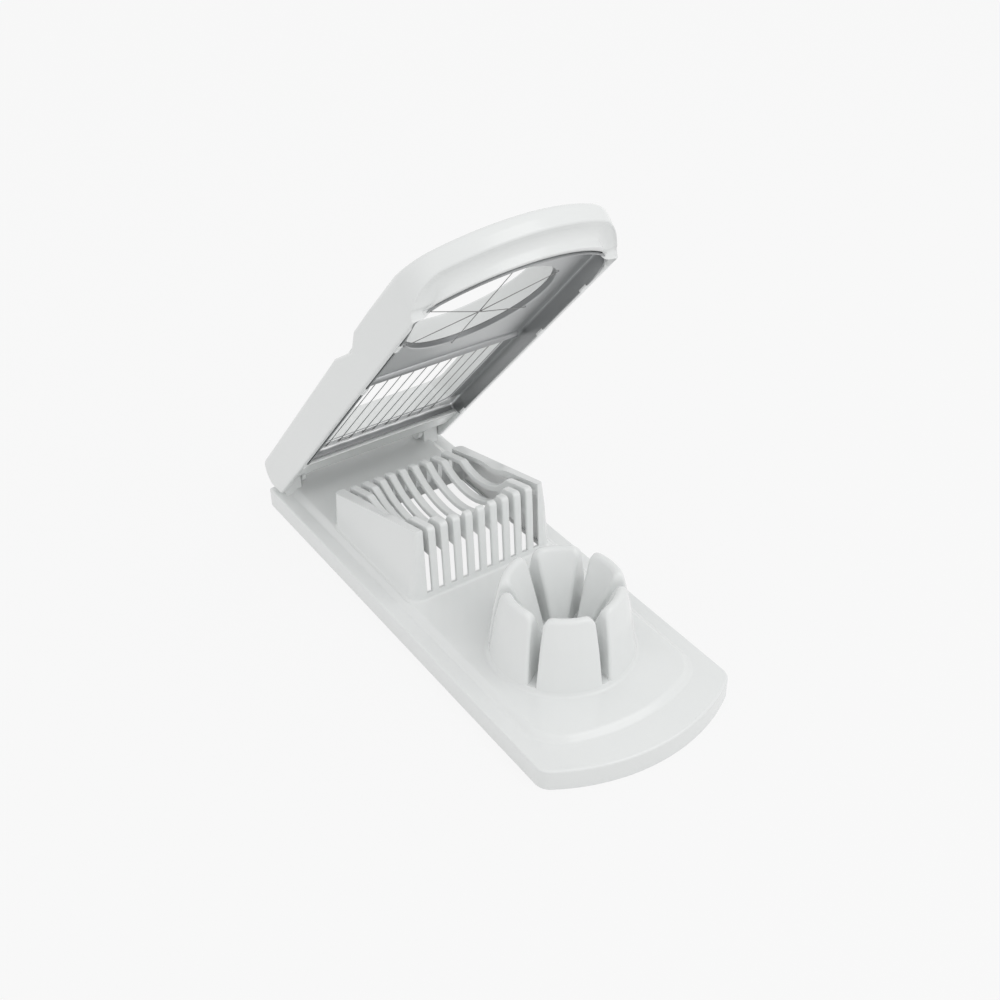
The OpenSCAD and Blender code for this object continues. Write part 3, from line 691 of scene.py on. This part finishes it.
def makePosts():
    radius, foot = post["radius"], base["flange"] - post["sunk"]
    outline = arc((hingeAt.y, hingeAt.z), radius, 0, 180, post["headSteps"])
    outline += [(hingeAt.y - radius, foot), (hingeAt.y + radius, foot)]
    for side in ("left", "right"):
        low, high = (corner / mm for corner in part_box("hinge_post_" + side))
        bm = bmesh.new()
        pulledAcross(bm, outline, low.x, high.x, post["edgeR"])
        piece("hingePost_" + side, bm, "base", shellWhite, ["hinge_post_" + side])


lid = {
    "half": 38.9, "front": 194.7, "up": 9.5, "low": 6.55, "wall": 2.2, "top": 2.2,
    "frontR": 58, "cornerR": 18, "cavityR": 13, "reach": 6.3, "bevel": 3.2, "edgeR": 0.6,
    "frontSteps": 64, "cornerSteps": 60,
    "sides": (20, 60, 95, 104, 106, 108, 112, 116, 119, 121.8, 124, 127, 129.4, 130.4, 131.6,
              136, 145),
    "notchAt": 121.8, "notchDeep": 3.9, "notchBack": 15.8, "notchFront": 8.6,
    "notchIn": 5.4, "notchEnd": 0.2,
    "scoop": 6.0, "scoopLow": 4.4, "scoopEnd": 3, "scoopWide": 18, "scoopHigh": 8,
    "scoopRound": 1.5, "scoopLift": 0.3, "scoopEase": (-0.5, 2.5),
    "coveHigh": 3.8, "coveWide": 2.3, "lip": 8.0, "lipEdgeR": 0.8, "lipSpan": (158, 182),
    "railR": 1.3, "lipR": 4.0, "rimGap": 0.1, "plateEnd": 0.5, "plateBack": (0.5, 0.7),
    "wallFrom": -5.7, "wallSteps": 26, "wallUpper": (3.2, 4.2, 5.4, 6.4),
    "wellRear": 33.2, "wellFront": 99.28, "wellHalf": 31.2, "wellR": 5.5, "wellWall": 1.8,
    "wellLow": 0.05, "wellEdgeR": 0.9,
    "ringAt": 144.3, "ringLowR": 27.2, "ringTopR": 25.7, "ringLow": 1.6, "ringFoot": 3,
    "ringSteps": 96,
    "crossAt": 25.0, "crossFoot": 13.8, "crossLow": 4.8,
}


# where a rail's rear end lies at a height: sloped below, rounded above
def railRear(w):
    r = lid["up"] - lid["bevel"]
    slopeEnd = lid["bevel"] - r / 2
    if w < slopeEnd:
        return -lid["reach"] * (w + lid["low"]) / (slopeEnd + lid["low"])
    if w < lid["bevel"]:
        return -lid["reach"]
    return r - lid["reach"] - sqrt(max(r ** 2 - (w - lid["bevel"]) ** 2, 0))


# depth of the notch in the rails' upper edges
def notchDrop(u):
    at = lid["notchAt"]
    back, fore = at - lid["notchBack"], at + lid["notchFront"]
    t = (u - back) / (at - back) if u < at else (fore - u) / (fore - at)
    return lid["notchDeep"] * min(max(t, 0), 1)


# a U from the left rail's rear end round the front to the right one's
def openPlan(half, rear, front, frontR, cornerR):
    plan = archedPlan(half, rear, front, frontR, cornerR, 0, lid["sides"], lid["frontSteps"],
                      lid["cornerSteps"])
    return plan[rearSteps:-rearSteps]


def lidPlan(inset, rear):
    return openPlan(lid["half"] - inset, rear, lid["front"] - inset, lid["frontR"] - inset,
                    lid["cornerR"] - inset)


def cavityPlan(grow, rear):
    deep = lid["scoop"] + lid["wall"] - grow
    return openPlan(lid["half"] - lid["wall"] + grow, rear, lid["front"] - deep,
                    lid["frontR"] - deep, lid["cavityR"] + grow)


# the finger scoop: how far round the outline each place lies from the scoop's end
def scoopReach():
    side = lid["half"] - lid["cornerR"]
    drop = sqrt((lid["frontR"] - lid["cornerR"]) ** 2 - side ** 2)
    turnAt = lid["front"] - lid["frontR"] + drop
    reach = []
    for x, u in lidPlan(0, 0):
        turn = atan2(u - turnAt, abs(x) - side) * 180 / pi if u > turnAt else 0
        reach.append(lid["cornerR"] * radians(turn - lid["scoopEnd"]))
    return reach


scoopPlaces = scoopReach()


# depth of the scoop at a height: a round edge, then a cove that curls in to the back wall
def scoopDepth(place, w):
    wide, high, power = lid["scoopWide"], lid["scoopHigh"], lid["scoopRound"]
    aside = max(1 - place / wide, 0) ** power
    above = max(1 - (lid["up"] - lid["lip"] - w) / high, 0) ** power
    total, none = aside + above, 1e-6
    edge, full = lid["lipEdgeR"], lid["scoop"]
    if total < none:
        return full
    inside = (1 - total ** (1 / power)) * (wide * aside + high * above) / total
    cove = (lid["coveWide"] * aside + lid["coveHigh"] * above) / total
    if inside < 0:
        return edge * (1 - sqrt(1 - max(inside / edge + 1, 0) ** 2))
    return edge + (full - edge) * sqrt(1 - max(1 - inside / cove, 0) ** 2)


# the lip at the front is rounded more than the rails
def softAt(u):
    return lid["railR"] + (lid["lipR"] - lid["railR"]) * smoothStep(*lid["lipSpan"], u)


# one closed ring: the U of the outer walls, then back along the cavity
def wallRing(w, shrink):
    rear = railRear(w) + shrink
    outer, inward = lidPlan(shrink, rear), lidPlan(shrink + 1, rear)
    sides = []
    for (x0, u0), (x1, u1), place in zip(outer, inward, scoopPlaces):
        top = lid["up"] - max(lid["top"], softAt(u0) + lid["rimGap"]) - notchDrop(u0)
        depth = scoopDepth(place, w)
        sides.append((x0 + (x1 - x0) * depth, u0 + (u1 - u0) * depth, min(w, top), place))
    for (x, u), place in reversed(list(zip(cavityPlan(shrink, rear), scoopPlaces))):
        sides.append((x, u, min(w, lid["up"] - lid["top"] - notchDrop(u)), place))
    ring = []
    for x, u, level, place in sides:
        raised = max(level, -lid["scoopLow"] + (level + lid["low"]) * lid["scoopLift"])
        ring.append((x, -u, level + (raised - level) * smoothStep(*lid["scoopEase"], place)))
    return ring


# the plate's rounded edge, at a turn from its side to its top
def roundedRing(t):
    ring = []
    for (x0, u0), (x1, u1) in zip(lidPlan(0, 0), lidPlan(1, 0)):
        r = softAt(u0)
        inset, w = r * (1 - cos(t)), lid["up"] - r * (1 - sin(t))
        rear = railRear(w) * (u0 < 1)
        ring.append((x0 + (x1 - x0) * inset, -u0 - (u1 - u0) * inset - rear, w - notchDrop(u0)))
    w = lid["up"] - lid["railR"] * (1 - sin(t))
    return ring + [(s * (lid["half"] - lid["wall"]), -railRear(w), w) for s in (1, -1)]


# the plate's top, which dips with the notches or lies flat inside them
def plateRing(inset, back, dips):
    w = lid["up"]
    rear = railRear(w) + back
    ring = [(x, -u, w - notchDrop(at) * dips)
            for (x, u), (rim, at) in zip(lidPlan(inset, rear), lidPlan(0, 0))]
    return ring + [(s * (lid["half"] - inset - lid["plateEnd"]), -rear, w) for s in (1, -1)]


def wellPlan(spread, w):
    plan = roundBox(lid["wellHalf"] + spread, lid["wellRear"] - spread, lid["wellFront"] + spread,
                    lid["wellR"] + spread)
    return [(x, -u, w) for x, u in plan]


def ringPlan(radius, w):
    return [(x, y, w) for x, y in circle((0, -lid["ringAt"]), radius, lid["ringSteps"])]


# a U of walls under a top plate with two wells
def makeLidShell(bm):
    lipLow, under = lid["up"] - lid["lip"], lid["up"] - lid["top"]
    first, steps = lid["wallFrom"], lid["wallSteps"]
    levels = [first + (lipLow - first) * k / steps for k in range(steps)]
    levels += [lipLow + above for above, off in reversed(fillet(lid["lipEdgeR"], 5))]
    levels += [*lid["wallUpper"], under]
    stages = [(up - lid["low"], shrink) for shrink, up in fillet(lid["edgeR"], 3)]
    stages += [(w, 0) for w in levels]
    low, high = loft(bm, [wallRing(*stage) for stage in stages])
    cap(bm, low)

    # the wall's upper rim is parted into the plate's edge outside and its underside within
    count = len(high) // 2
    outside, rightEnd = high[:count - 1], high[count - 1]
    inside, leftEnd = high[count:-1], high[-1]
    across = bm.edges.new([next(v for v in inside[0].verts if v in rightEnd.verts),
                           next(v for v in inside[-1].verts if v in leftEnd.verts)])
    rings = [roundedRing(t) for t in quarter(8)]
    rings.append(plateRing(lid["notchIn"] - lid["notchEnd"], lid["plateBack"][0], 1))
    rings.append(plateRing(lid["notchIn"], lid["plateBack"][1], 0))
    brim, table = loft(bm, rings)
    bmesh.ops.bridge_loops(bm, edges=outside + [rightEnd, leftEnd, across] + brim)

    edge = [(out, lid["up"] - down) for out, down in fillet(lid["wellEdgeR"], 4)]
    rings = [wellPlan(out, w) for out, w in edge]
    rings += [wellPlan(0, lid["wellLow"]), wellPlan(lid["wellWall"], lid["wellLow"]),
              wellPlan(lid["wellWall"], under)]
    wellTop, wellUnder = loft(bm, rings)
    rings = [ringPlan(lid["ringTopR"] + out, w) for out, w in edge]
    rings += [ringPlan(lid["ringLowR"], lid["ringLow"]),
              ringPlan(lid["ringLowR"] + lid["ringFoot"], lid["ringLow"]),
              ringPlan(lid["ringTopR"] + lid["wellWall"], under)]
    ringTop, ringUnder = loft(bm, rings)
    cap(bm, table, wellTop, ringTop)
    cap(bm, inside + [across], wellUnder, ringUnder)


brace = {
    "wallLap": 0.3, "wallUp": 0.5, "wallR": 0.4, "footLap": 0.2, "footR": 0.5,
    "shelfFront": 1.2, "shelfRear": 0.6, "shelfLow": 0.5, "shelfHigh": 2, "shelfR": 0.3,
    "gussets": ((26.9, 29.1), (-29.1, -26.9)), "gussetR": 4.6, "gussetUp": 0.3, "gussetIn": 0.5,
    "gussetFoot": 0.1, "gussetEdgeR": 0.35, "gussetTurn": (230, 360), "gussetSteps": 12,
    "bossHalf": 2.9, "bossFront": 0.6, "bossRear": 0.2, "bossLow": -0.55, "bossHigh": 1,
    "bossR": 0.15, "lugsAt": (32, 113, 150), "lugHalf": 2.5, "lugIn": 1.3, "lugOut": 0.4,
    "lugLow": -6.85, "lugHigh": -5.9, "lugR": 0.3,
}


# cross wall with its foot and shelf, gussets round the pins, and what holds the steel frame
def makeBraces(bm):
    under, inner, cross = lid["up"] - lid["top"], lid["half"] - lid["wall"], -lid["crossAt"]
    sole, toe = -lid["crossLow"], cross + lid["crossFoot"]
    wide, less = inner + brace["wallLap"], inner + brace["footLap"]
    roundedBlock(bm, (-wide, cross, sole), (wide, cross + lid["wall"], under + brace["wallUp"]),
                 brace["wallR"])
    roundedBlock(bm, (-less, cross, sole), (less, toe, sole + lid["wall"]), brace["footR"])
    roundedBlock(bm, (-less, -lid["wellRear"] + brace["shelfFront"], brace["shelfLow"]),
                 (less, cross - brace["shelfRear"], brace["shelfHigh"]), brace["shelfR"])

    high, low = under + brace["gussetUp"], sole + brace["gussetFoot"]
    inWall = cross + brace["gussetIn"]
    outline = [(brace["gussetR"], high), (inWall, high), (inWall, low), (toe, low)]
    outline += arc((0, 0), brace["gussetR"], *brace["gussetTurn"], brace["gussetSteps"])
    for left, right in brace["gussets"]:
        pulledAcross(bm, outline, left, right, brace["gussetEdgeR"])

    hookAt = -lid["wellRear"] + steel["hookIn"]
    for x in hookPlaces:
        roundedBlock(bm, (x - brace["bossHalf"], hookAt + brace["bossFront"], brace["bossLow"]),
                     (x + brace["bossHalf"], hookAt + steel["hookD"] - brace["bossRear"],
                      brace["bossHigh"]), brace["bossR"])
    for sign in (-1, 1):
        left, right = sorted((sign * (inner - brace["lugIn"]), sign * (inner + brace["lugOut"])))
        for at in brace["lugsAt"]:
            roundedBlock(bm, (left, -at - brace["lugHalf"], brace["lugLow"]),
                         (right, -at + brace["lugHalf"], brace["lugHigh"]), brace["lugR"])


def makeLid():
    bm = bmesh.new()
    makeLidShell(bm)
    makeBraces(bm)
    piece("lidFrame", bm, "lid", shellWhite, ["lid_frame"], lidPlace)


steel = {
    "t": 0.6, "gap": 0.3, "foldR": 0.9, "cornerR": 1.6,
    "sides": (27, 28, 29, 30, 90, 157), "frontSteps": 40,
    "rearRim": 2.2, "railRim": 6.05, "rim": 4.4, "railSpan": (25, 29), "frontSpan": (158, 172),
    "ringR": 27.5, "collar": 1.5, "ringEdge": 0.3, "ringFlare": 0.25,
    "ribW": 3.6, "ribD": 1.6, "ribPast": 2.6, "ribLap": 0.05, "ribEdgeR": 0.3, "ribSteps": 16,
    "hooks": 6, "hookW": 6.2, "hookD": 2.8, "hookIn": 3.6, "hookR": 0.3, "hookSteps": 3,
}
hookPlaces = [(2 * i - (steel["hooks"] - 1)) * cradle["pitch"] for i in range(steel["hooks"])]


# the rim hangs lower along the rails than over the plateau at the front and rear
def rimLow(u):
    deep = steel["rearRim"]
    deep += (steel["railRim"] - steel["rearRim"]) * smoothStep(*steel["railSpan"], u)
    return -steel["t"] - deep - (steel["rim"] - deep) * smoothStep(*steel["frontSpan"], u)


# level with w, or else along the rim's lower edge
def sheetPlan(inset, w=None):
    off = steel["gap"] + inset
    deep = lid["scoop"] + lid["wall"] + off
    plan = archedPlan(lid["half"] - lid["wall"] - off, lid["crossAt"] + off, lid["front"] - deep,
                      lid["frontR"] - deep, lid["cavityR"] - off, steel["cornerR"] - inset,
                      steel["sides"], steel["frontSteps"])
    return [(x, -u, rimLow(u) if w is None else w) for x, u in plan]


# a sheet with a turned rim, two windows, a collar, hook slots and a folded rib
def makeSteel():
    bm = bmesh.new()
    t, fold = steel["t"], steel["foldR"]
    rings = [sheetPlan(inset, up - fold) for inset, up in reversed(rounding(fold, 4))]
    rings += [sheetPlan(0), sheetPlan(t)]
    rings += [sheetPlan(t + inset, up - fold) for inset, up in rounding(fold - t, 2)]
    crest, hollow = loft(bm, rings)

    holes = [wellPlan(0, 0)]
    slot = roundBox(steel["hookW"] / 2, -steel["hookD"] / 2, steel["hookD"] / 2, steel["hookR"],
                    steel["hookSteps"])
    middle = -lid["wellRear"] + steel["hookIn"] + steel["hookD"] / 2
    holes += [[(at + x, middle + y, 0) for x, y in slot] for at in hookPlaces]
    walls = [loft(bm, [hole, [(x, y, -t) for x, y, z in hole]]) for hole in holes]
    ringR, collar = steel["ringR"], steel["collar"]
    highRing, lowRing = loft(bm, [
        ringPlan(ringR + t, 0), ringPlan(ringR + t, collar), ringPlan(ringR, collar),
        ringPlan(ringR, -t + steel["ringEdge"]), ringPlan(ringR + steel["ringFlare"], -t)])
    cap(bm, crest, highRing, *(top for top, under in walls))
    cap(bm, hollow, lowRing, *(under for top, under in walls))

    half, halfRib = lid["wellHalf"] + steel["ribPast"], steel["ribW"] / 2
    at, level = -lid["wellFront"] - halfRib, -t + steel["ribLap"]
    profile = [(at + y, level + z * steel["ribD"] / halfRib)
               for y, z in arc((0, 0), halfRib, 180, 360, steel["ribSteps"])]
    pulledAcross(bm, profile, -half, half, steel["ribEdgeR"])
    piece("steelFrame", bm, "lid", sheetSteel, ["wire_frame"], lidPlace, sharp=35)


wire = {"d": 0.36, "gap": 0.05, "tail": 2.5, "rise": 0.6, "roundness": 3, "turnSteps": 16}
wireUnder = -steel["t"] - wire["gap"] - wire["d"] / 2
wireOver = wire["gap"] + wire["d"] / 2


def makeWire(name, node, points):
    curve = bpy.data.curves.new(name, "CURVE")
    curve.dimensions = "3D"
    curve.bevel_depth = wire["d"] / 2
    curve.bevel_resolution = wire["roundness"]
    curve.use_fill_caps = True
    spline = curve.splines.new("POLY")
    spline.points.add(len(points) - 1)
    for spot, point in zip(spline.points, points):
        spot.co = (*point, 1)
    shape = bpy.data.objects.new(name + "Path", curve)
    bpy.context.scene.collection.objects.link(shape)
    ready = shape.evaluated_get(bpy.context.evaluated_depsgraph_get())
    mesh = bpy.data.meshes.new_from_object(ready)
    bm = bmesh.new()
    bm.from_mesh(mesh)
    bpy.data.objects.remove(shape)
    bpy.data.meshes.remove(mesh)
    piece(name, bm, "lid", wireSteel, [node], lidPlace, sharp=60)


# one strand to and fro across the slicing window, its loops in the slots, level with the sheet
def slicingPath():
    hook = lid["wellRear"] - steel["hookIn"] - wire["gap"] - wire["d"] / 2
    rib = lid["wellFront"] + steel["t"] + wire["gap"] + wire["d"] / 2
    count, level = cradle["wires"], -steel["t"]
    across = [(i - (count - 1) / 2) * cradle["pitch"] for i in range(count)]
    path = [(across[0] - wire["tail"], -hook, level)]
    for i, x in enumerate(across):
        run = [(x, -hook, level), (x, -hook - wire["rise"], wireUnder), (x, -rib, wireUnder)]
        path += run if i % 2 == 0 else run[::-1]
    return path + [(across[-1] + wire["tail"], -hook, level)]


# one strand three times across the round window, turning over the sheet's edge
def wedgePath():
    reach = steel["ringR"] + steel["t"] + wire["gap"] + wire["d"] / 2
    steps = wire["turnSteps"]

    def spot(radius, turn, w):
        return radius * cos(radians(turn)), radius * sin(radians(turn)) - lid["ringAt"], w

    def run(turn, layer):
        dip = wireUnder - layer * (wire["d"] + wire["gap"])
        return [spot(reach, turn, wireOver), spot(reach, turn, wireUnder), spot(0, turn, dip),
                spot(reach, turn + 180, wireUnder), spot(reach, turn + 180, wireOver)]

    def along(first, last):
        return [spot(reach, first + (last - first) * k / steps, wireOver) for k in range(1, steps)]

    return run(-90, 0) + along(90, 150) + run(150, 1) + along(-30, 30) + run(30, 2)


makeBasePlate()
print("base made")
makeRibs()
makeEnds()
makeCradleFoot()
print("cradle made")
makeCup()
print("cup made")
makePosts()
print("posts made")
makeLid()
print("lid made")
makeSteel()
makeWire("slicingWire", "slicing_wire", slicingPath())
makeWire("wedgeWire", "wedge_wire", wedgePath())
print("steel made")


studio = {
    "backdrop": 0.965, "sky": 0.935, "world": 0.81,
    "floorHalf": 6, "floorTone": 0.76, "floorShadow": 0.10, "aim": (0, 0, 0.05),
    "lamps": {
        "key": {"at": (0.32, -0.60, 0.85), "size": 0.7, "power": 1.9},
        "fill": {"at": (-0.85, -0.25, 0.55), "size": 0.8, "power": 0.4},
    },
}


# pale to the eye and in reflections, with a faint shadow, and matte to the light that it returns
def makeFloor():
    bm = bmesh.new()
    bmesh.ops.create_grid(bm, x_segments=1, y_segments=1, size=studio["floorHalf"])
    mesh = bpy.data.meshes.new("floor")
    bm.to_mesh(mesh)
    bm.free()
    floor = bpy.data.objects.new("floor", mesh)
    bpy.context.scene.collection.objects.link(floor)
    material, start = newFinish("paleFloor")
    sees, gloss, through = (start.node("ShaderNodeLightPath", out=ray) for ray in (
        "Is Camera Ray", "Is Glossy Ray", "Is Transmission Ray"))
    pale, tone = studio["backdrop"], studio["floorTone"]
    glow = start.node("ShaderNodeEmission", None,
                      {"Color": (pale, pale, pale, 1), "Strength": 1.0})
    matte = start.node("ShaderNodeBsdfDiffuse", None, {"Color": (tone, tone, tone, 1)})
    share = (sees + gloss + through) * (1 - studio["floorShadow"])
    mixed = start.node("ShaderNodeMixShader", None, {0: share, 1: matte, 2: glow})
    start.node("ShaderNodeOutputMaterial", None, {"Surface": mixed})
    mesh.materials.append(material)


def makeLight():
    scene = bpy.context.scene
    world = bpy.data.worlds.new("studio")
    scene.world = world
    world.use_nodes = True
    world.node_tree.nodes.clear()
    start = Signal(world.node_tree)
    sees = start.node("ShaderNodeLightPath", out="Is Camera Ray")
    strength = sees * (studio["sky"] - studio["world"]) + studio["world"]
    glow = start.node("ShaderNodeBackground", None, {"Color": (1, 1, 1, 1), "Strength": strength})
    start.node("ShaderNodeOutputWorld", None, {"Surface": glow})
    for name, lamp in studio["lamps"].items():
        light = bpy.data.lights.new(name, "AREA")
        light.size = lamp["size"]
        light.energy = lamp["power"]
        made = bpy.data.objects.new(name, light)
        made.location = lamp["at"]
        towards = Vector(studio["aim"]) - Vector(lamp["at"])
        made.rotation_euler = towards.to_track_quat("-Z", "Y").to_euler()
        scene.collection.objects.link(made)


# the photograph's camera
view = {
    "azimuth": radians(-33.93), "elevation": radians(35.39), "roll": radians(-0.65),
    "at": (-0.21845, -0.33837, 0.33067), "lens": 49.22, "sensor": 36, "shiftX": -0.0043,
    "nearest": 0.01,
}


def makeCamera():
    a, e, r = view["azimuth"], view["elevation"], view["roll"]
    back = Vector((sin(a) * cos(e), -cos(a) * cos(e), sin(e)))
    right = Vector((cos(a), sin(a), 0))
    up = back.cross(right)
    turned = (cos(r) * right + sin(r) * up, cos(r) * up - sin(r) * right, back)
    data = bpy.data.cameras.new("camera")
    data.lens, data.sensor_width, data.sensor_fit = view["lens"], view["sensor"], "HORIZONTAL"
    data.shift_x = view["shiftX"]
    data.clip_start = view["nearest"]
    camera = bpy.data.objects.new("camera", data)
    camera.matrix_world = Matrix.Translation(view["at"]) @ Matrix(turned).transposed().to_4x4()
    bpy.context.scene.collection.objects.link(camera)
    bpy.context.scene.camera = camera


bpy.context.scene.view_settings.view_transform = "Standard"
makeFloor()
makeLight()
makeCamera()

print("scene made")
